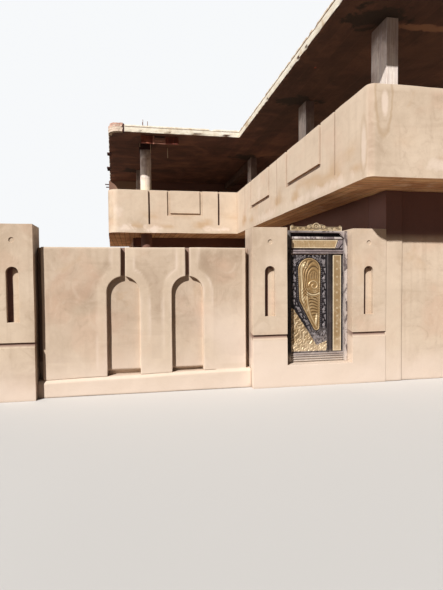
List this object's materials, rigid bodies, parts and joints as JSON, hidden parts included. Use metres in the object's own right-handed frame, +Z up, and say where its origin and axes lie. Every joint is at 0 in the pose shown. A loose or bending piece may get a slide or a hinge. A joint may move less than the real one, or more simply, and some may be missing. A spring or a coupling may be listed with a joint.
{
  "type": "two-storey plastered house with a walled courtyard and steel gate",
  "caption": "Flat-roofed plastered house, unfinished above: an overhanging first floor on columns, a panelled street wall with arched recesses, piers and a hinged steel gate.",
  "frame": {"origin": "middle of the whole plan at ground level", "axes": "+Z up, +X along the street to the right as seen from it, +Y from the street towards the back"},
  "size_m": [12.64, 17.1, 8],
  "materials": {
    "plaster": "trowelled earth-coloured cement plaster, matt",
    "concrete": "board-marked concrete, matt",
    "gunmetal": "dark painted steel, worn satin",
    "gilt": "gilt embossed sheet, satin",
    "brick": "rough bricks smeared with mortar",
    "timber": "rough reddish formwork boards",
    "rusty_steel": "rusty reinforcing steel"
  },
  "bodies": {
    "root": {"left_pier": "plaster", "gate_pier_left": "plaster", "gate_pier_right": "plaster", "street_wall": "plaster", "street_plinth": "plaster", "wall_panel_left": "plaster", "wall_panel_middle": "plaster", "wall_panel_right": "plaster", "gate_threshold": "plaster", "gate_frame": "gunmetal", "gate_transom_panel": "gilt", "gate_side_panel": "gilt", "gate_crown": "gilt", "gate_hinge_posts": "gunmetal", "corner_pilaster_left": "plaster", "corner_pilaster_right": "plaster", "wing_front_wall": "plaster", "wing_court_wall_front": "plaster", "wing_court_wall_back": "plaster", "wing_door_lintel": "plaster", "wing_right_wall": "plaster", "house_court_wall_left": "plaster", "house_court_wall_right": "plaster", "house_door_lintel": "plaster", "house_left_wall": "plaster", "house_back_wall": "plaster", "house_floor": "concrete", "wing_floor": "concrete", "yard_side_wall": "plaster", "yard_back_wall": "plaster", "lower_round_column": "concrete", "first_floor_wing": "plaster", "first_floor_house": "plaster", "parapet_wing_front": "plaster", "parapet_wing_side": "plaster", "parapet_right": "plaster", "parapet_house_front": "plaster", "parapet_house_left": "plaster", "upper_back_wall": "plaster", "upper_columns": "concrete", "upper_round_column": "concrete", "roof_wing": "concrete", "roof_house": "concrete", "roof_corner_bricks": "brick", "roof_beam": "concrete", "formwork_boards": "timber", "starter_bars": "rusty_steel"},
    "gate": {"gate_leaf": "gunmetal", "gate_leaf_panel": "gilt", "gate_hinge_sleeves": "gunmetal"}
  },
  "joints": [
    {"name": "gate_hinge", "type": "hinge", "parent": "root", "child": "gate", "pos_m": [-1.007, -7.098, 1.6], "axis": [0, 0, 1], "range_deg": [0, 90]}
  ]
}
